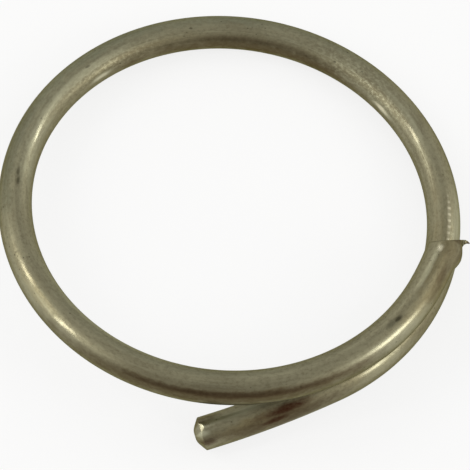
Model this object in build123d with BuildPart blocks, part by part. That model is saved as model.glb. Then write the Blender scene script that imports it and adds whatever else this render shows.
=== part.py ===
from build123d import *
import os
from math import cos, degrees, pi, radians, sin, tan

# Circlip of round wire: one piece of wire wound through a little more than a turn,
# so that its ends pass one above the other. It lies on a flat surface, as it comes to rest.
# Millimetres and degrees. +Z is up, +X to the right and +Y to the far side.

# Wire and ring
wire_diameter = 2.0
inside_diameter = 23.5
strand_gap = 0.14

# Round part of the winding: where its lower end is, seen from above, how far it goes round,
# and the number of circular arcs that its helix is made of
coil_start = -57.0
coil_angle = 394.0
coil_arcs = 8

# Lower end: it opens out of the coil, leans down and has a blunt cone for a nose
tail_length = 8.57
tail_bend_radius = 26.6
tail_lean = 39.7
nose_length = 0.43
nose_depth = 0.62

# Upper end: it opens a little too. The cutters left a ridge across it at half its height,
# on a slant seen from above, a bevel above and below the ridge, and a swelling behind it
end_length = 3.6
end_bend_radius = 18.5
cut_slant = 23.0
cut_bevel = 30.0
swelling_height = 0.22
swelling_distance = 0.9

# Burr at the outer end of the ridge
burr_reach = 0.39
burr_base = 0.42
burr_thickness = 0.4
burr_tip_thickness = 0.06
burr_droop = 0.17
burr_root = 0.06

# How finely the resting position is looked for: points along each stretch of the wire,
# directions tried at each step, and the first and last step in tilt
rest_points = 60
rest_directions = 72
rest_first_step = 3.0
rest_last_step = 0.01

wire_radius = wire_diameter / 2
coil_radius = inside_diameter / 2 + wire_radius
coil_pitch = wire_diameter + strand_gap


def directions(curve, position):
    """Point, heading, level direction to the ring's axis and upward direction on a curve."""
    point = curve @ position
    heading = curve % position
    inward = Vector(-point.X, -point.Y, 0).normalized()
    return point, heading, inward, heading.cross(inward)


def plane_of(point, x_dir, y_dir):
    """Plane through a point with its two directions given."""
    return Plane(origin=point, x_dir=x_dir, z_dir=x_dir.cross(y_dir))


def coil_point(angle):
    """Point of the coil's centre line, a helix about the Z axis, at an angle in radians."""
    return Vector(coil_radius * cos(angle), coil_radius * sin(angle), coil_pitch * angle / (2 * pi))


# Centre line of the wire: the lower end, the coil and the upper end run on into each other.
# Where one arc of the coil meets the next, both lie along a heading a little flatter than
# the helix has, because each arc is flat and steepest at its middle.
arc_angle = radians(coil_angle / coil_arcs)
joint_slope = coil_pitch / (2 * pi * coil_radius) * (arc_angle / 2) / tan(arc_angle / 2)
with BuildLine() as coil:
    for index in range(coil_arcs):
        angle = index * arc_angle
        heading = Vector(-sin(angle), cos(angle), joint_slope)
        TangentArc(coil_point(angle), coil_point(angle + arc_angle), tangent=heading)

tail_root, heading, inward, upward = directions(coil.line, 0)
lean = radians(tail_lean)
tail_plane = plane_of(tail_root, heading * -1, inward * cos(lean) - upward * sin(lean))
with BuildLine(tail_plane) as tail:
    JernArc((0, 0), (1, 0), tail_bend_radius, degrees(tail_length / tail_bend_radius))

end_root, heading, inward, upward = directions(coil.line, 1)
slant = radians(cut_slant)
cut_waste = wire_diameter * tan(slant)
end_arc = degrees((end_length + cut_waste) / end_bend_radius)
with BuildLine(plane_of(end_root, heading, inward)) as end:
    JernArc((0, 0), (1, 0), end_bend_radius, end_arc)

with BuildLine() as centre_line:
    add(tail.line)
    add(coil.line)
    add(end.line)

# The slanted cut leaves the wire's outer side longer than its inner side. What it takes off
# stays clear of the turn below.
cut_centre, heading, inward, upward = directions(end.line, end_length / (end_length + cut_waste))
cut_normal = heading * cos(slant) + inward * sin(slant)
cut_height = coil_pitch / 2
cut_setback = cut_height * tan(radians(cut_bevel))
swelling_centre = cut_centre - heading * swelling_distance - inward * swelling_height

# Burr: a thorn at half the wire's height. Its far side runs on from the ridge and bends over,
# its near side is hollow, and it is drawn in to a point from above and below.
ridge_top = wire_radius * tan(slant)
burr_foot = (wire_radius - burr_root, ridge_top - burr_root * tan(slant))
burr_tip = (wire_radius + burr_reach, ridge_top - burr_droop)
burr_heel = (burr_foot[0], ridge_top - burr_base)
with BuildPart() as burr:
    with BuildSketch(plane_of(cut_centre, inward * -1, heading)):
        with BuildLine():
            TangentArc(burr_foot, burr_tip, tangent=(cos(slant), sin(slant)))
            Bezier(burr_tip, (wire_radius, burr_tip[1]), burr_heel)
            Line(burr_heel, burr_foot)
        make_face()
    extrude(amount=burr_thickness, both=True)
    with BuildSketch(plane_of(cut_centre, inward * -1, upward)):
        Polygon(
            (burr_foot[0], burr_thickness / 2),
            (burr_tip[0], burr_tip_thickness / 2),
            (burr_tip[0], -burr_tip_thickness / 2),
            (burr_foot[0], -burr_thickness / 2),
            align=None,
        )
    extrude(amount=wire_diameter, both=True, mode=Mode.INTERSECT)

# The wire itself, still standing in the coil's own frame
tail_tip = tail.line @ 1
with BuildPart() as wire:
    with BuildSketch(Plane(origin=tail_tip, z_dir=tail.line % 1)):
        Circle(wire_radius)
    sweep(path=centre_line.line)
    nose_face = wire.faces().sort_by_distance(tail_tip)[0]
    chamfer(nose_face.edges(), length=nose_depth, length2=nose_length, reference=nose_face)
    with Locations(swelling_centre):
        Sphere(wire_radius)
    add(burr.part)
    with BuildSketch(plane_of(cut_centre, cut_normal, upward)):
        Polygon(
            (0, 0),
            (-cut_setback, cut_height),
            (2 * cut_waste, cut_height),
            (2 * cut_waste, -cut_height),
            (-cut_setback, -cut_height),
            align=None,
        )
    extrude(amount=wire_diameter, both=True, mode=Mode.SUBTRACT)


def resting_direction(points, weight):
    """Direction that points up once the wire has settled, which is where its weight is lowest."""

    def height(up):
        return weight.dot(up) - min(point.dot(up) for point in points)

    up = Vector(0, 0, 1)
    step = radians(rest_first_step)
    while step > radians(rest_last_step):
        turns = [2 * pi * index / rest_directions for index in range(rest_directions)]
        trials = [(up + Vector(cos(turn), sin(turn), 0) * step).normalized() for turn in turns]
        lowest = min(trials, key=height)
        if height(lowest) < height(up):
            up = lowest
        else:
            step /= 2
    return up


# The nose is narrower than the wire, so the lower end's last place of rest is its root
nose_root = 1 - nose_length / tail_length
tail_points = [tail.line @ (nose_root * index / rest_points) for index in range(rest_points + 1)]
coil_points = [coil.line @ (index / rest_points) for index in range(rest_points + 1)]
up = resting_direction(tail_points + coil_points, wire.part.center())

# Laid down at rest, turned to its place seen from above, centred, and set on the surface
vertical = Vector(0, 0, 1)
settled = wire.part.rotate(Axis((0, 0, 0), up.cross(vertical)), up.get_angle(vertical))
settled = settled.rotate(Axis.Z, coil_start)
box = settled.bounding_box()
coil_place = Vector(-box.center().X, -box.center().Y, -box.min.Z)
with BuildPart() as circlip:
    with Locations(coil_place):
        add(settled)

circlip.part.label = "circlip"
os.makedirs("parts", exist_ok=True)
export_step(circlip.part, "parts/circlip.step")
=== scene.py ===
from math import atan2, cos, degrees, hypot, pi, radians, sin, sqrt, tan

import bmesh
import bpy
from mathutils import Matrix, Quaternion, Vector


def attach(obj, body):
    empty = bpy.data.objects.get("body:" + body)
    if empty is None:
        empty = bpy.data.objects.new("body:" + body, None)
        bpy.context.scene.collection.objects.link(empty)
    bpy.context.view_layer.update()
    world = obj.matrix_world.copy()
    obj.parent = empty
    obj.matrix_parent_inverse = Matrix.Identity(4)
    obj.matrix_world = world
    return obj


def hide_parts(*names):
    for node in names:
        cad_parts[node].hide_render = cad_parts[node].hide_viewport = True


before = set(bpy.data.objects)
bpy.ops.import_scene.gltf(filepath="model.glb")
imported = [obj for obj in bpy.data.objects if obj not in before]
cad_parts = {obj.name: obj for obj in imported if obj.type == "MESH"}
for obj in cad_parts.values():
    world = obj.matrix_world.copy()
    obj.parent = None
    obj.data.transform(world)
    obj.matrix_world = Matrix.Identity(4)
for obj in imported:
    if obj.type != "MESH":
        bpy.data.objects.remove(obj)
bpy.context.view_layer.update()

# The wire: drawn spring steel, 2 mm thick, wound through a little more than a turn.
# Its section is a ring of points, carried round the coil and the two ends, and every point
# keeps its place on the straight wire, so that marks from the drawing die run along it.
MM = 0.001
WIRE_RADIUS = 1.0 * MM
COIL_RADIUS = 12.75 * MM
COIL_PITCH = 2.14 * MM
COIL_START = radians(-57)
COIL_ANGLE = radians(394)
SECTION_POINTS = 48
RING_SPACING = 0.25 * MM


def points_of(geometry):
    """The points among some points, edges and faces."""
    return [item for item in geometry if isinstance(item, bmesh.types.BMVert)]


def edges_of(geometry):
    """The edges among some points, edges and faces."""
    return [item for item in geometry if isinstance(item, bmesh.types.BMEdge)]


def middle(points):
    """Mean place of some points."""
    return sum((point.co for point in points), Vector()) / len(points)


def spin_section(mesh, section, layer, centre, axis, angle, rise, length):
    """Carries a section round an axis, a ring at a time, and returns the last ring.

    The layer holds each point's place on the straight wire.
    """
    steps = round(abs(length) / RING_SPACING)
    for _ in range(steps):
        spun = bmesh.ops.spin(
            mesh,
            geom=section,
            cent=centre,
            axis=axis,
            dvec=rise / steps,
            angle=angle / steps,
            steps=1,
            use_duplicate=False,
        )
        section = spun["geom_last"]
        for point in points_of(section):
            point[layer] = point[layer] + Vector((0, 0, length / steps))
    return section


def next_ring(mesh, ring_edges):
    """Extrudes a ring of edges on the spot, and returns the new ring's points and edges."""
    made = bmesh.ops.extrude_edge_only(mesh, edges=ring_edges)["geom"]
    ring_points = points_of(made)
    return ring_points, [edge for edge in edges_of(made) if set(edge.verts) <= set(ring_points)]


def section_frame(centre, outward, upward, heading):
    """Frame of a section: X outwards from the ring's axis, Y upwards and Z along the wire."""
    axes = Matrix((outward, upward, heading)).transposed().to_4x4()
    axes.translation = centre
    return axes


wire_mesh = bmesh.new()
straight = wire_mesh.verts.layers.float_vector.new("straight")

slope = COIL_PITCH / (2 * pi * COIL_RADIUS)
start_centre = Vector((COIL_RADIUS, 0, 0))
start_heading = Vector((0, 1, slope)).normalized()
start_outward = Vector((1, 0, 0))
start_upward = start_outward.cross(start_heading)
made = bmesh.ops.create_circle(wire_mesh, segments=SECTION_POINTS, radius=WIRE_RADIUS)
for point in made["verts"]:
    point[straight] = point.co
start_frame = section_frame(start_centre, start_outward, start_upward, start_heading)
bmesh.ops.transform(wire_mesh, matrix=start_frame, verts=made["verts"])
start_section = list(wire_mesh.verts) + list(wire_mesh.edges)

COIL_LENGTH = COIL_ANGLE * COIL_RADIUS
COIL_RISE = Vector((0, 0, COIL_PITCH * COIL_ANGLE / (2 * pi)))
coil_last = spin_section(
    wire_mesh,
    start_section,
    straight,
    Vector(),
    Vector((0, 0, 1)),
    COIL_ANGLE,
    COIL_RISE,
    COIL_LENGTH,
)

# The wire's lower end: it opens out of the coil and leans down beside the turn above.
# Its nose was dressed to a blunt cone with a domed face before winding, and a flat spot
# is worn on the nose's shoulder.
TAIL_LENGTH = 8.57 * MM
TAIL_BEND_RADIUS = 26.6 * MM
TAIL_LEAN = radians(39.7)
SHOULDER_REACH = 0.48 * MM
NOSE_LENGTH = 0.43 * MM
FLAT_LEAN = radians(3.5)
FLAT_TILT = radians(16)
FLAT_DEPTH = 0.07 * MM
FLAT_RADIUS = 0.19 * MM
# How far on each ring of the nose is, and its width as a share of the wire's
NOSE_PROFILE = (
    (0.08 * MM, 1.0),
    (0.16 * MM, 1.0),
    (0.24 * MM, 1.0),
    (0.32 * MM, 1.0),
    (0.40 * MM, 0.999),
    (0.48 * MM, 0.995),
    (0.50 * MM, 0.975),
    (0.61 * MM, 0.81),
    (0.80 * MM, 0.53),
    (0.89 * MM, 0.34),
    (0.91 * MM, 0.17),
)

tail_inward = -start_outward * cos(TAIL_LEAN) - start_upward * sin(TAIL_LEAN)
tail_axis = -start_heading.cross(tail_inward)
tail_round = TAIL_LENGTH - NOSE_LENGTH - SHOULDER_REACH
tail_turn = tail_round / TAIL_BEND_RADIUS
tail_last = spin_section(
    wire_mesh,
    start_section,
    straight,
    start_centre + tail_inward * TAIL_BEND_RADIUS,
    tail_axis,
    tail_turn,
    Vector(),
    -tail_round,
)
nose_turned = Matrix.Rotation(tail_turn, 3, tail_axis)
nose_outward = nose_turned @ start_outward
nose_upward = nose_turned @ start_upward
nose_heading = nose_turned @ -start_heading
nose_edges = edges_of(tail_last)
reached = 0
narrowed = 1
for reach, width in NOSE_PROFILE:
    nose_points, nose_edges = next_ring(wire_mesh, nose_edges)
    step = reach - reached
    narrower = width / narrowed
    bmesh.ops.translate(wire_mesh, vec=nose_heading * step, verts=nose_points)
    about_centre = Matrix.Translation(-middle(nose_points))
    bmesh.ops.scale(wire_mesh, vec=Vector((narrower,) * 3), space=about_centre, verts=nose_points)
    for point in nose_points:
        place = point[straight]
        point[straight] = (place.x * narrower, place.y * narrower, place.z - step)
    reached, narrowed = reach, width
bmesh.ops.contextual_create(wire_mesh, geom=nose_edges)

round_normal = nose_outward * sin(FLAT_LEAN) + nose_upward * cos(FLAT_LEAN)
flat_normal = round_normal * cos(FLAT_TILT) + nose_heading * sin(FLAT_TILT)
shoulder = middle(points_of(tail_last)) + nose_heading * SHOULDER_REACH + round_normal * WIRE_RADIUS
for point in wire_mesh.verts:
    above = (point.co - shoulder).dot(flat_normal) + FLAT_DEPTH
    aside = (point.co - shoulder - flat_normal * (above - FLAT_DEPTH)).length
    if above > 0 and aside < 2 * FLAT_RADIUS:
        worn = min(1, 2 - aside / FLAT_RADIUS)
        point.co -= flat_normal * above * worn

# The wire's upper end: it opens a little too. Cutters took it off after winding: they left
# a ridge across it at half its height, a bevel above and below the ridge, a swelling behind
# it and, at the ridge's outer end, a burr like a thorn.
END_LENGTH = 3.6 * MM
END_BEND_RADIUS = 18.5 * MM
CUT_SLANT = radians(23)
CUT_BEVEL = radians(30)
CUT_SOFTENING = 0.03 * MM
CUT_RINGS = 4
CUT_RING_SPACING = 0.15 * MM
SWELLING_HEIGHT = 0.22 * MM
SWELLING_DISTANCE = 0.9 * MM
BURR_BASE_WIDTH = 0.45 * MM
BURR_BASE_HALF_HEIGHT = 0.28 * MM
# How far each step of the burr reaches out, its height and width as shares of those of the
# step before, and how far it goes on along the wire
BURR_STEPS = (
    (0.08 * MM, 0.65, 0.56, 0.02 * MM),
    (0.12 * MM, 0.60, 0.56, -0.03 * MM),
    (0.11 * MM, 0.50, 0.54, -0.06 * MM),
    (0.07 * MM, 0.40, 0.38, -0.06 * MM),
)
# Points this near to half height are on the ridge, faces no larger than this are slivers,
# and points farther out than this are on the burr
ON_RIDGE = 0.01 * MM
SLIVER_AREA = 0.01 * MM * MM
WIRE_SURFACE = 1.01 * WIRE_RADIUS

coil_turned = Matrix.Rotation(COIL_ANGLE, 3, "Z")
end_inward = coil_turned @ -start_outward
end_upward = coil_turned @ start_upward
end_heading = coil_turned @ start_heading
end_centre = middle(points_of(coil_last)) + end_inward * END_BEND_RADIUS


def end_frame(length):
    """Frame of the section at a distance along the upper end."""
    turn = Matrix.Rotation(length / END_BEND_RADIUS, 3, end_upward)
    outward = turn @ -end_inward
    centre = end_centre + outward * END_BEND_RADIUS
    return section_frame(centre, outward, end_upward, turn @ end_heading)


setback = WIRE_RADIUS * sqrt(tan(CUT_SLANT) ** 2 + tan(CUT_BEVEL) ** 2)
end_round = END_LENGTH - setback - CUT_RINGS * CUT_RING_SPACING
end_last = spin_section(
    wire_mesh,
    coil_last,
    straight,
    end_centre,
    end_upward,
    end_round / END_BEND_RADIUS,
    Vector(),
    end_round,
)

# From ring to ring the section leans over: outwards for the slant, and back above and below
# its middle for the two bevels
cut_edges = edges_of(end_last)
cut_step = (END_LENGTH - end_round) / CUT_RINGS
slant_step = tan(CUT_SLANT) / CUT_RINGS
bevel_step = tan(CUT_BEVEL) / CUT_RINGS
for index in range(CUT_RINGS):
    reached = end_round + cut_step * (index + 1)
    here = end_frame(reached)
    to_here = here.inverted()
    cut_points, cut_edges = next_ring(wire_mesh, cut_edges)
    onward = here @ end_frame(reached - cut_step).inverted()
    bmesh.ops.transform(wire_mesh, matrix=onward, verts=cut_points)
    upper = [point for point in cut_points if (to_here @ point.co).y > 0]
    lower = [point for point in cut_points if (to_here @ point.co).y < 0]
    for lean, moved in (
        (Matrix.Shear("YZ", 4, (0, slant_step)), cut_points),
        (Matrix.Shear("XZ", 4, (0, -bevel_step)), upper),
        (Matrix.Shear("XZ", 4, (0, bevel_step)), lower),
    ):
        bmesh.ops.transform(wire_mesh, matrix=lean, space=to_here, verts=moved)
    for point in cut_points:
        place = to_here @ point.co
        point[straight] = (place.x, place.y, COIL_LENGTH + reached + place.z)

cut_frame = end_frame(END_LENGTH)
to_cut = cut_frame.inverted()
bmesh.ops.contextual_create(wire_mesh, geom=cut_edges)
ridge_points = [point for point in cut_points if abs((to_cut @ point.co).y) < ON_RIDGE]
ridge = bmesh.ops.connect_verts(wire_mesh, verts=ridge_points)["edges"]
bmesh.ops.bevel(
    wire_mesh,
    geom=cut_edges + ridge,
    offset=CUT_SOFTENING,
    segments=1,
    profile=0.5,
    affect="EDGES",
    material=-1,
)

# Burr: the faces of the flank next to the ridge's outer end, drawn out and in to a point
ridge_reach = WIRE_RADIUS * tan(CUT_SLANT)
wire_mesh.normal_update()
burr_faces = []
for face in wire_mesh.faces:
    place = to_cut @ face.calc_center_median()
    beside_ridge = place.x > 0 and 0 < ridge_reach - place.z < BURR_BASE_WIDTH
    if beside_ridge and abs(place.y) < BURR_BASE_HALF_HEIGHT and face.calc_area() > SLIVER_AREA:
        burr_faces.append(face)
anchor = Vector((WIRE_RADIUS, 0, ridge_reach - CUT_SOFTENING))
for reach, height, width, ahead in BURR_STEPS:
    burr_points = points_of(bmesh.ops.extrude_face_region(wire_mesh, geom=burr_faces)["geom"])
    burr_faces = [face for face in wire_mesh.faces if all(point in burr_points for point in face.verts)]
    narrower = Matrix.Diagonal((1, height, width, 1))
    moved_on = Matrix.Translation(Vector((reach, 0, ahead)))
    draw_out = moved_on @ Matrix.Translation(anchor) @ narrower @ Matrix.Translation(-anchor)
    bmesh.ops.transform(wire_mesh, matrix=draw_out, space=to_cut, verts=burr_points)
    anchor = anchor + Vector((reach, 0, ahead))

# Swelling, as round as the wire itself, on the outer side
for point in wire_mesh.verts:
    place = to_cut @ point.co
    behind = (place.z + SWELLING_DISTANCE) / WIRE_RADIUS
    aside = place.y / WIRE_RADIUS
    on_end = point[straight].z > COIL_LENGTH and 0 < place.x < WIRE_SURFACE
    if on_end and behind**2 + aside**2 < 1:
        swollen = SWELLING_HEIGHT + WIRE_RADIUS * sqrt(1 - behind**2 - aside**2)
        if swollen > place.x:
            point.co += cut_frame.to_3x3() @ Vector((swollen - place.x, 0, 0))

# The last ring, the cut and the burr have their place on the straight wire from the cut
before_last_ring = COIL_LENGTH + END_LENGTH - 0.9 * cut_step
for point in wire_mesh.verts:
    place = to_cut @ point.co
    if point[straight].z > before_last_ring:
        point[straight] = (place.x, place.y, COIL_LENGTH + END_LENGTH + place.z)

# Pits: shallow dents with dark floors. Of each: its place in millimetres from the coil's
# start, its turn in degrees from the top, half length, half width and strength.
PITTED = (
    (84.65, 6, 0.50, 12, 0.85),
    (84.10, 4, 0.60, 14, 0.50),
    (52.62, -4, 0.45, 9, 0.65),
    (53.25, -8, 0.45, 9, 0.72),
    (52.95, -6, 0.80, 6, 0.35),
    (43.6, -12, 0.28, 6, 0.5),
    (36.4, -15, 0.18, 5, 0.6),
    (26.9, -36, 0.16, 5, 0.6),
)
PIT_DEPTH = 0.05 * MM

wire_mesh.normal_update()
for point in wire_mesh.verts:
    place = point[straight] / MM
    turn = degrees(atan2(place.x, place.y))
    for pit_place, pit_turn, half_length, half_width, strength in PITTED:
        off = hypot((place.z - pit_place) / half_length, (turn - pit_turn) / half_width)
        if off < 1:
            point.co -= point.normal * PIT_DEPTH * strength * (1 - off)

# Laid down as it comes to rest, and set where the frame has it
REST_TILT = radians(3.9385)
REST_TILT_AXIS = Vector((0.4210, 0.9071, 0))
COIL_PLACE = Vector((-0.2177, 0.7242, 1.0213)) * MM

bmesh.ops.recalc_face_normals(wire_mesh, faces=wire_mesh.faces)
for face in wire_mesh.faces:
    face.smooth = True
wire_mesh.transform(
    Matrix.Translation(COIL_PLACE)
    @ Matrix.Rotation(COIL_START, 4, "Z")
    @ Matrix.Rotation(-REST_TILT, 4, REST_TILT_AXIS)
)
wire_data = bpy.data.meshes.new("wire")
wire_mesh.to_mesh(wire_data)
wire_mesh.free()
wire = bpy.data.objects.new("wire", wire_data)
bpy.context.scene.collection.objects.link(wire)
smoothing = wire.modifiers.new("smoothing", "SUBSURF")
smoothing.levels = 1
smoothing.render_levels = 1

# Spring steel: oiled and worn, olive grey, with lines from the drawing die, brown patches,
# stains, small pits, and places that are polished or dull. Painted shade darkens the flanks that
# face dim surroundings and the tails of highlights, and painted highlights, glints, glow and a
# reflected line lie near the lamps' reflections. Marks are placed on the straight wire, in
# millimetres from the coil's start and degrees from the top, outwards positive.
STEEL_COLOUR = (0.260, 0.240, 0.152, 1)
DARK_COLOUR = (0.145, 0.125, 0.075, 1)
BROWN_COLOUR = (0.215, 0.175, 0.085, 1)
GREEN_COLOUR = (0.175, 0.182, 0.122, 1)
# Colour of the painted shade
SHADE_COLOUR = (0.100, 0.078, 0.040, 1)
# Red-brown of the stains, also used as painted shade on the lower flanks and for the burr's dark tip
STAIN_AND_SHADE_COLOUR = (0.044, 0.0125, 0.0055, 1)
PIT_COLOUR = (0.045, 0.040, 0.022, 1)
# Pale colour of the die lines, and of the painted light, glints and reflected line
LINE_AND_HIGHLIGHT_COLOUR = (0.46, 0.45, 0.31, 1)
EDGE_COLOUR = (0.42, 0.41, 0.31, 1)
# Colour of the painted highlights and glints
GLINT_COLOUR = (0.74, 0.69, 0.50, 1)

# How much of each layer's colour shows
BLOTCH_SHARE = 0.40
MOTTLING_SHARE = 0.60
LINE_SHARE = 0.12
LINE_CONTRAST = 0.5
# Share of the painted reflected line
REFLECTED_LINE_SHARE = 0.35
BURR_SHARE = 0.8
# Share of the pale flecks, which are painted glints
FLECK_SHARE = 0.42
# How much the painted glints on the ripples show
BEAD_LEAST = 0.2
BEAD_SHARE = 0.8
SPECK_SHARE = 0.7

# How much of a mark shows where the noise that breaks it up is low, and what the noise adds
BROWN_BREAK = (0.4, 1.0)
GREEN_BREAK = (0.4, 1.0)
PAINTED_LIGHT_BREAK = (0.3, 1.2)
SHADE_BREAK = (0.70, 0.5)
STAIN_AND_SHADE_BREAK = (0.65, 0.5)
GLINT_BREAK = (0.4, 1.0)

# Finish and relief: what each layer adds
STEEL_ROUGHNESS = 0.28
MOTTLING_ROUGHNESS = 0.16
LINE_ROUGHNESS = 0.06
DULL_ROUGHNESS = 0.14
POLISHED_SMOOTHNESS = 0.17
POLISHED_COAT = 0.35
COAT_ROUGHNESS = 0.16
DULL_TARNISH = 0.5
BUMP_STRENGTH = 0.35
BUMP_DISTANCE = 0.02 * MM
LINE_RELIEF = 0.4
FINE_LINE_RELIEF = 0.15
MOTTLING_RELIEF = 0.8
BEAD_RELIEF = 0.65
PIT_RELIEF = 1.2
SPECK_RELIEF = 0.5
POLISHED_LEVELLING = 0.6

# Noises: grains to a millimetre across and along the wire, detail and roughness of each
DIE_LINES = (6.5, 0.25, 3.0, 0.6)
FINE_LINES = (20.0, 0.5, 2.0, 0.5)
BLOTCHES = (0.9, 0.28, 3.0, 0.55)
MOTTLING = (6.5, 4.0, 4.0, 0.70)
LONG_WAVER = (0.7, 0.8, 2.0, 0.5)
SHORT_WAVER = (2.5, 1.6, 3.0, 0.6)
SPECK_CHANCE = (0.8, 0.35, 2.0, 0.5)
SPECKS = (3.2, 3.2, 2.2)

# Between which levels of a noise each of these begins and is full
BLOTCH_EDGE = (0.35, 0.75)
MOTTLING_EDGE = (0.40, 0.75)
FLECK_EDGE = (0.38, 0.50)
SPECK_EDGE = (0.05, 0.17)
SPECKED_EDGE = (0.50, 0.62)
REFLECTED_LINE_EDGE = (0.3, 0.6)
BEAD_EDGE = (-0.2, 0.9)

# Edges of the marks: the share of a mark that has its full strength, and how far its outline
# wavers, as shares of its half length and half width
MARK_CORE = 0.25
WAVER_ALONG = 0.6
WAVER_ROUND = 0.8

# Marks: place, turn, half length, half width and strength of each
BROWN = (
    (89.0, 35, 7.0, 70, 0.80),
    (5.0, 0, 14.0, 110, 0.50),
    (-4.0, 45, 5.0, 36, 0.95),
    (74.0, 60, 11.0, 26, 0.65),
    (38.0, -55, 20.0, 40, 0.40),
    (61.0, 38, 4.5, 30, 0.80),
)
GREENED = (
    (38.0, 30, 20.0, 50, 0.80),
    (50.0, 34, 8.0, 40, 0.90),
    (70.0, -32, 16.0, 40, 0.35),
)
# Painted shade: darker lower and inner flanks where the steel faces dim surroundings, the face under
# the cut's edge, and the tails of lamp highlights
PAINTED_SHADE = (
    (72.0, 72, 14.0, 36, 0.90),
    (71.0, 32, 8.5, 15, 0.25),
    (90.4, 64, 1.3, 20, 0.60),
    (88.4, 44, 2.8, 28, 0.58),
    (5.6, 42, 2.3, 34, 0.40),
    (40.5, -46, 2.6, 15, 0.28),
    (51.0, 34, 6.0, 34, 0.30),
    (16.3, -28, 2.2, 15, 0.28),
    (22.3, -30, 4.0, 26, 0.36),
    (32.0, -82, 13.0, 38, 1.0),
    (-3.5, 72, 5.0, 40, 0.80),
    (-7.7, -26, 1.2, 26, 0.60),
    (91.2, 42, 0.5, 46, 1.0),
    (90.0, 34, 3.5, 32, 0.45),
)
# Red-brown stains on the tail and nose; the long marks along the near lower flank and the tail's lower
# flank are partly painted shade
STAINS_AND_SHADE = (
    (-3.2, 37, 2.5, 26, 1.0),
    (-2.8, 36, 1.4, 18, 1.0),
    (-4.0, 62, 1.3, 17, 0.85),
    (-7.9, 62, 0.7, 17, 0.70),
    (75.5, 56, 11.0, 19, 0.46),
    (-3.2, 64, 4.2, 30, 0.26),
    (88.6, 40, 0.9, 20, 0.30),
)
# Painted light: glow around the lamps' highlights, a highlight streak near the upper end, and lit
# patches on the tail, the nose and the flanks
PAINTED_LIGHT = (
    (-8.1, 28, 0.60, 17, 1.0),
    (13.0, 60, 3.8, 50, 0.60),
    (61.5, 58, 5.0, 40, 0.40),
    (64.0, -46, 9.0, 18, 0.45),
    (84.5, 62, 3.5, 30, 0.50),
    (83.0, 46, 3.8, 28, 0.32),
    (3.2, 55, 3.0, 30, 0.35),
    (47.0, -20, 9.0, 20, 0.50),
    (21.0, -14, 4.0, 16, 0.45),
    (-6.2, -6, 3.0, 22, 0.85),
    (50.5, -50, 5.0, 22, 0.35),
    (88.6, -12, 2.6, 14, 0.60),
    (43.0, -72, 1.3, 14, 1.0),
    (22.4, -72, 1.3, 14, 1.0),
    (24.4, -66, 2.6, 12, 0.35),
)
DULL = (
    (44.0, -30, 4.5, 24, 0.7),
    (-3.0, 0, 4.6, 170, 1.0),
    (90.2, 44, 2.6, 34, 1.0),
    (49.5, 14, 6.0, 16, 1.0),
    (75.0, 48, 13.0, 22, 0.25),
)
POLISHED = (
    (19.7, -32, 1.2, 26, 1.0),
    (49.5, -30, 1.2, 26, 1.0),
    (59.5, 27, 1.4, 26, 0.9),
    (63.8, 42, 1.2, 26, 1.0),
    (83.8, 40, 3.2, 22, 1.0),
    (2.2, 40, 1.4, 22, 1.0),
    (-8.0, 4, 0.9, 36, 1.0),
    (90.1, -4, 0.5, 14, 1.0),
)
# Painted highlights: a bright spot near the upper end, pale patches on the far inner flank, and a pale
# line along the cut's edge
PAINTED_GLINTS = (
    (90.1, -4, 0.33, 11, 1.0),
    (22.6, -70, 0.8, 10, 0.9),
    (43.0, -72, 0.8, 9, 0.4),
    (91.55, -40, 0.25, 45, 0.4),
)
# Grainy patches along the highlights, whose pale flecks are painted glints
GLINTING_GRAIN = (
    (24.5, -30, 6.0, 60, 1.0),
    (42.5, -40, 6.0, 44, 0.7),
    (51.0, -30, 4.0, 40, 0.5),
)
SPECKED = ((30.0, -10, 14.0, 60, 0.12),)
# A row of real ripples, each with a painted glint
RIPPLES_AND_GLINTS = ((13.4, 14, 2.4, 9, 1.0),)

# Ripples along the beaded row, each with a painted glint: the place of one of them, and how far apart
# they are
BEAD_PLACE = 13.29
BEAD_SPACING = 0.42

# A painted reflection, a thin pale line along the wire: its turn and half width, and where it fades in
# and out
REFLECTED_LINE_TURN = -31.5
REFLECTED_LINE_HALF_WIDTH = 2.2
REFLECTED_LINE_START = (12.0, 18.0)
REFLECTED_LINE_FINISH = (48.0, 53.0)

# The burr's tip is dark from the first to the second distance from the wire's middle
BURR_TIP = (1.08, 1.30)


class Value:
    """A value on a surface. Sums written with it in Python add Math nodes to its material."""

    def __init__(self, tree, socket=None):
        self.tree = tree
        self.socket = socket

    def node(self, kind, settings=None, inputs=None, output=0):
        """Adds a node: its settings first, then the values or links of its sockets."""
        made = self.tree.nodes.new(kind)
        for name, setting in (settings or {}).items():
            setattr(made, name, setting)
        for name, value in (inputs or {}).items():
            if isinstance(value, Value):
                self.tree.links.new(value.socket, made.inputs[name])
            else:
                made.inputs[name].default_value = value
        return Value(self.tree, made.outputs[output])

    def maths(self, operation, first, second):
        """Adds a Math node with two terms."""
        return self.node("ShaderNodeMath", {"operation": operation}, {0: first, 1: second})

    def __add__(self, other):
        return self.maths("ADD", self, other)

    def __radd__(self, other):
        return self.maths("ADD", other, self)

    def __sub__(self, other):
        return self.maths("SUBTRACT", self, other)

    def __rsub__(self, other):
        return self.maths("SUBTRACT", other, self)

    def __mul__(self, other):
        return self.maths("MULTIPLY", self, other)

    def __rmul__(self, other):
        return self.maths("MULTIPLY", other, self)


def rise(value, low, high):
    """0 below the low value, 1 above the high one and a smooth rise between them."""
    return value.node(
        "ShaderNodeMapRange",
        {"interpolation_type": "SMOOTHSTEP"},
        {"Value": value, "From Min": low, "From Max": high},
    )


def mixed(factor, first, second):
    """The first colour where the factor is 0 and the second where it is 1."""
    return factor.node(
        "ShaderNodeMix", {"data_type": "RGBA"}, {0: factor, 6: first, 7: second}, output=2
    )


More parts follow.
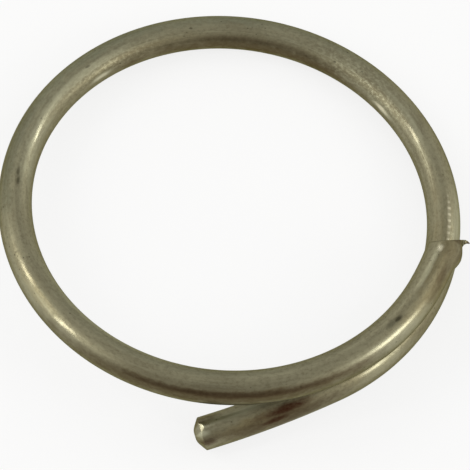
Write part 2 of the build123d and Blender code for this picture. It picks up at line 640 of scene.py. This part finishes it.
steel = bpy.data.materials.new("spring_steel")
steel.use_nodes = True
steel_start = Value(steel.node_tree)
on_wire = steel_start.node("ShaderNodeAttribute", {"attribute_name": "straight"}, output="Vector")
in_mm = on_wire.node("ShaderNodeVectorMath", {"operation": "SCALE"}, {0: on_wire, "Scale": 1 / MM})
outward = in_mm.node("ShaderNodeSeparateXYZ", inputs={0: in_mm}, output="X")
upward = in_mm.node("ShaderNodeSeparateXYZ", inputs={0: in_mm}, output="Y")
along = in_mm.node("ShaderNodeSeparateXYZ", inputs={0: in_mm}, output="Z")
turned = outward.maths("ARCTAN2", outward, upward) * degrees(1)


def stretched(grains):
    """Places on the straight wire, with so many grains to a millimetre on each axis."""
    return in_mm.node("ShaderNodeVectorMath", {"operation": "MULTIPLY"}, {0: in_mm, 1: grains})


def noise(across, lengthwise, detail, roughness):
    """Noise on the straight wire, with so many grains to a millimetre across and along it."""
    return in_mm.node(
        "ShaderNodeTexNoise",
        inputs={
            "Vector": stretched((across, across, lengthwise)),
            "Scale": 1.0,
            "Detail": detail,
            "Roughness": roughness,
        },
    )


die_lines = noise(*DIE_LINES)
fine_lines = noise(*FINE_LINES)
blotches = noise(*BLOTCHES)
mottling = noise(*MOTTLING)

waver_along = (noise(*LONG_WAVER) - 0.5) * WAVER_ALONG
waver_round = (noise(*SHORT_WAVER) - 0.5) * WAVER_ROUND
ragged = along.node("ShaderNodeCombineXYZ", inputs={"X": waver_along, "Y": waver_round})
spot = along.node("ShaderNodeCombineXYZ", inputs={"X": along, "Y": turned})


def patches(marks):
    """Strength of the marks at each place on the wire, with soft and ragged edges."""
    together = None
    for place, turn, half_length, half_width, strength in marks:
        scaled = spot.node(
            "ShaderNodeVectorMath",
            {"operation": "MULTIPLY_ADD"},
            {
                0: spot,
                1: (1 / half_length, 1 / half_width, 0),
                2: (-place / half_length, -turn / half_width, 0),
            },
        )
        uneven = scaled.node("ShaderNodeVectorMath", {"operation": "ADD"}, {0: scaled, 1: ragged})
        off = uneven.node("ShaderNodeVectorMath", {"operation": "LENGTH"}, {0: uneven}, output="Value")
        patch = off.node(
            "ShaderNodeMapRange",
            {"interpolation_type": "SMOOTHSTEP"},
            {"Value": off, "From Min": 1.0, "From Max": MARK_CORE, "To Max": strength},
        )
        together = patch if together is None else patch.maths("MAXIMUM", patch, together)
    return together


def broken(marks, grains, least, added):
    """Marks broken up by a noise."""
    return marks * (grains * added + least)


brown = patches(BROWN)
greened = patches(GREENED)
painted_shade = patches(PAINTED_SHADE)
stains_and_shade = patches(STAINS_AND_SHADE)
painted_light = patches(PAINTED_LIGHT)
dull = patches(DULL)
polished = patches(POLISHED)
painted_glints = patches(PAINTED_GLINTS)
pitted = patches(PITTED)
glint_flecks = patches(GLINTING_GRAIN) * (1 - rise(mottling, *FLECK_EDGE))
specks = in_mm.node("ShaderNodeTexVoronoi", inputs={"Vector": stretched(SPECKS), "Scale": 1.0})
speck_chance = noise(*SPECK_CHANCE) + patches(SPECKED)
specked = (1 - rise(specks, *SPECK_EDGE)) * rise(speck_chance, *SPECKED_EDGE)
ripples_and_glints = patches(RIPPLES_AND_GLINTS)
ripple = along.maths("COSINE", (along - BEAD_PLACE) * (2 * pi / BEAD_SPACING), 0.0)
# Mask of the painted reflected line
beside = (turned - REFLECTED_LINE_TURN) * (1 / REFLECTED_LINE_HALF_WIDTH)
reflected_line = (1 - rise(beside * beside, 0.0, 1.0)) * rise(along, *REFLECTED_LINE_START)
reflected_line = reflected_line * (1 - rise(along, *REFLECTED_LINE_FINISH)) * rise(die_lines, *REFLECTED_LINE_EDGE)
burr_tip = rise(outward, *BURR_TIP)

# Colour, from the bare steel up to the marks, painted light and painted shade that lie on top
bare = mixed(rise(blotches, *BLOTCH_EDGE) * BLOTCH_SHARE, STEEL_COLOUR, DARK_COLOUR)
browned = mixed(broken(brown, blotches, *BROWN_BREAK), bare, BROWN_COLOUR)
green = mixed(broken(greened, blotches, *GREEN_BREAK), browned, GREEN_COLOUR)
lined = mixed((die_lines - 0.5) * LINE_CONTRAST + LINE_SHARE, green, LINE_AND_HIGHLIGHT_COLOUR)
mottled = mixed(rise(mottling, *MOTTLING_EDGE) * MOTTLING_SHARE, lined, DARK_COLOUR)
# Painted light: glow and highlight streaks
with_painted_light = mixed(broken(painted_light, die_lines, *PAINTED_LIGHT_BREAK), mottled, LINE_AND_HIGHLIGHT_COLOUR)
# Painted shade on the flanks that face dim surroundings and beside highlights
with_painted_shade = mixed(broken(painted_shade, mottling, *SHADE_BREAK), with_painted_light, SHADE_COLOUR)
# Stains, and painted shade along the lower flanks
with_stains_and_shade = mixed(broken(stains_and_shade, mottling, *STAIN_AND_SHADE_BREAK), with_painted_shade, STAIN_AND_SHADE_COLOUR)
# A painted reflection: thin pale line along the far side
with_reflected_line = mixed(reflected_line * REFLECTED_LINE_SHARE, with_stains_and_shade, LINE_AND_HIGHLIGHT_COLOUR)
with_burr = mixed(burr_tip * BURR_SHARE, with_reflected_line, STAIN_AND_SHADE_COLOUR)
# Pale flecks that are painted glints
with_glint_flecks = mixed(glint_flecks * FLECK_SHARE, with_burr, LINE_AND_HIGHLIGHT_COLOUR)
# Painted glints on the ripples
bead_glint = BEAD_LEAST + rise(ripple, *BEAD_EDGE) * blotches * BEAD_SHARE
with_bead_glints = mixed(ripples_and_glints * bead_glint, with_glint_flecks, GLINT_COLOUR)
# Painted highlights: bright spots and a pale line along the cut's edge
with_painted_glints = mixed(broken(painted_glints, mottling, *GLINT_BREAK), with_bead_glints, GLINT_COLOUR)
with_pits = mixed(pitted + specked * SPECK_SHARE * (1 - pitted), with_painted_glints, PIT_COLOUR)

# Finish: polishing levels the relief and leaves a gloss, and dull places are partly tarnish
worn_relief = die_lines * LINE_RELIEF + fine_lines * FINE_LINE_RELIEF + mottling * MOTTLING_RELIEF
levelled = worn_relief * (1 - polished * POLISHED_LEVELLING) + ripple * ripples_and_glints * BEAD_RELIEF
relief = levelled - pitted * PIT_RELIEF - specked * SPECK_RELIEF
bumped = steel_start.node(
    "ShaderNodeBump", inputs={"Strength": BUMP_STRENGTH, "Distance": BUMP_DISTANCE, "Height": relief}
)
worn_roughness = STEEL_ROUGHNESS + mottling * MOTTLING_ROUGHNESS + die_lines * LINE_ROUGHNESS
roughness = worn_roughness + dull * DULL_ROUGHNESS - polished * POLISHED_SMOOTHNESS
metallic = 1 - dull * (1 - stains_and_shade) * DULL_TARNISH
coat = polished * POLISHED_COAT

shader = steel.node_tree.nodes["Principled BSDF"]
shader.inputs["Specular Tint"].default_value = EDGE_COLOUR
shader.inputs["Coat Roughness"].default_value = COAT_ROUGHNESS
for value, socket in (
    (with_pits, "Base Color"),
    (metallic, "Metallic"),
    (coat, "Coat Weight"),
    (roughness, "Roughness"),
    (bumped, "Normal"),
):
    steel.node_tree.links.new(value.socket, shader.inputs[socket])
wire_data.materials.append(steel)
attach(wire, "root")
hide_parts("circlip")

# Floor: a plain white sheet that the ring lies on. Seen directly or in the steel it is paper
# white, and the rest of its light comes from the lamps, so that it keeps the ring's shadow.
FLOOR_SIZE = 3.0
PAPER_COLOUR = (0.9, 0.9, 0.9, 1)
PAPER_ROUGHNESS = 0.9
PAPER_OWN_WHITE = 0.8

floor_mesh = bmesh.new()
bmesh.ops.create_grid(floor_mesh, x_segments=1, y_segments=1, size=FLOOR_SIZE / 2)
floor_data = bpy.data.meshes.new("floor")
floor_mesh.to_mesh(floor_data)
floor_mesh.free()
floor = bpy.data.objects.new("floor", floor_data)
bpy.context.scene.collection.objects.link(floor)

paper = bpy.data.materials.new("paper")
paper.use_nodes = True
paper_tree = paper.node_tree
paper_start = Value(paper_tree)
sheet = paper_tree.nodes["Principled BSDF"]
sheet.inputs["Base Color"].default_value = PAPER_COLOUR
sheet.inputs["Roughness"].default_value = PAPER_ROUGHNESS
seen = (
    paper_start.node("ShaderNodeLightPath", output="Is Camera Ray")
    + paper_start.node("ShaderNodeLightPath", output="Is Glossy Ray")
    + paper_start.node("ShaderNodeLightPath", output="Is Transmission Ray")
)
white = paper_start.node("ShaderNodeEmission")
shown = seen.node(
    "ShaderNodeMixShader",
    inputs={0: seen * PAPER_OWN_WHITE, 1: Value(paper_tree, sheet.outputs["BSDF"]), 2: white},
)
paper_tree.links.new(shown.socket, paper_tree.nodes["Material Output"].inputs["Surface"])
floor_data.materials.append(paper)

# Light: a pale room, brighter at both sides and dim and brown low down at the front, and
# small soft lamps around the ring. Of each lamp: its name, azimuth, elevation, width, height
# and power.
BACK_COLOUR = (0.66, 0.66, 0.645, 1)
FRONT_COLOUR = (0.54, 0.54, 0.53, 1)
SIDE_COLOUR = (0.98, 0.97, 0.93, 1)
DIM_COLOUR = (0.20, 0.145, 0.11, 1)
DIM_DIRECTION = (0, -0.966, -0.259)
FRONT_TO_BACK = (-0.6, 0.6)
MIDDLE_TO_SIDE = (0.1, 0.95)
BRIGHT_TO_DIM = (0.35, 0.95)
LAMP_DISTANCE = 0.5
LAMPS = (
    ("left_lamp", 168.4, 40, 0.055, 0.24, 0.22),
    ("front_left_lamp", -162.5, 35, 0.05, 0.24, 0.22),
    ("right_lamp", -13.5, 29, 0.20, 0.15, 0.30),
    ("far_right_lamp", 30.5, 37, 0.04, 0.20, 0.13),
    ("far_left_lamp", 117, 42.5, 0.04, 0.05, 0.045),
)

world = bpy.data.worlds.new("room")
world.use_nodes = True
world_start = Value(world.node_tree)
direction = world_start.node("ShaderNodeTexCoord", output="Generated")
to_dim = direction.node(
    "ShaderNodeVectorMath",
    {"operation": "DOT_PRODUCT"},
    {0: direction, 1: DIM_DIRECTION},
    output="Value",
)
to_right = direction.node("ShaderNodeSeparateXYZ", inputs={0: direction}, output="X")
to_back = direction.node("ShaderNodeSeparateXYZ", inputs={0: direction}, output="Y")
to_side = to_right.maths("ABSOLUTE", to_right, 0.0)
from_front = mixed(rise(to_back, *FRONT_TO_BACK), FRONT_COLOUR, BACK_COLOUR)
with_sides = mixed(rise(to_side, *MIDDLE_TO_SIDE), from_front, SIDE_COLOUR)
room = mixed(rise(to_dim, *BRIGHT_TO_DIM), with_sides, DIM_COLOUR)
world.node_tree.links.new(room.socket, world.node_tree.nodes["Background"].inputs["Color"])
bpy.context.scene.world = world

for name, azimuth, elevation, width, height, power in LAMPS:
    lamp_data = bpy.data.lights.new(name, "AREA")
    lamp_data.shape = "RECTANGLE"
    lamp_data.size = width
    lamp_data.size_y = height
    lamp_data.energy = power
    lamp = bpy.data.objects.new(name, lamp_data)
    bpy.context.scene.collection.objects.link(lamp)
    turn, climb = radians(azimuth), radians(elevation)
    away = Vector((cos(turn) * cos(climb), sin(turn) * cos(climb), sin(climb)))
    lamp.location = away * LAMP_DISTANCE
    lamp.rotation_mode = "QUATERNION"
    lamp.rotation_quaternion = away.to_track_quat("Z", "Y")

# Camera, at the photograph's angle
CAMERA_TARGET = Vector((0.207, -0.912, 2.0)) * MM
CAMERA_DISTANCE = 238.66 * MM
CAMERA_AZIMUTH = radians(-1.244)
CAMERA_ELEVATION = radians(61.952)
CAMERA_ROLL = radians(7.367)
CAMERA_LENS = 309.5
CAMERA_CLIP = (0.01, 10)

camera_data = bpy.data.cameras.new("camera")
camera_data.lens = CAMERA_LENS
camera_data.clip_start, camera_data.clip_end = CAMERA_CLIP
camera = bpy.data.objects.new("camera", camera_data)
bpy.context.scene.collection.objects.link(camera)
level = cos(CAMERA_ELEVATION)
back = Vector((sin(CAMERA_AZIMUTH) * level, -cos(CAMERA_AZIMUTH) * level, sin(CAMERA_ELEVATION)))
camera.location = CAMERA_TARGET + back * CAMERA_DISTANCE
camera.rotation_mode = "QUATERNION"
camera.rotation_quaternion = (-back).to_track_quat("-Z", "Y") @ Quaternion((0, 0, 1), CAMERA_ROLL)
bpy.context.scene.camera = camera
bpy.context.scene.view_settings.view_transform = "Standard"
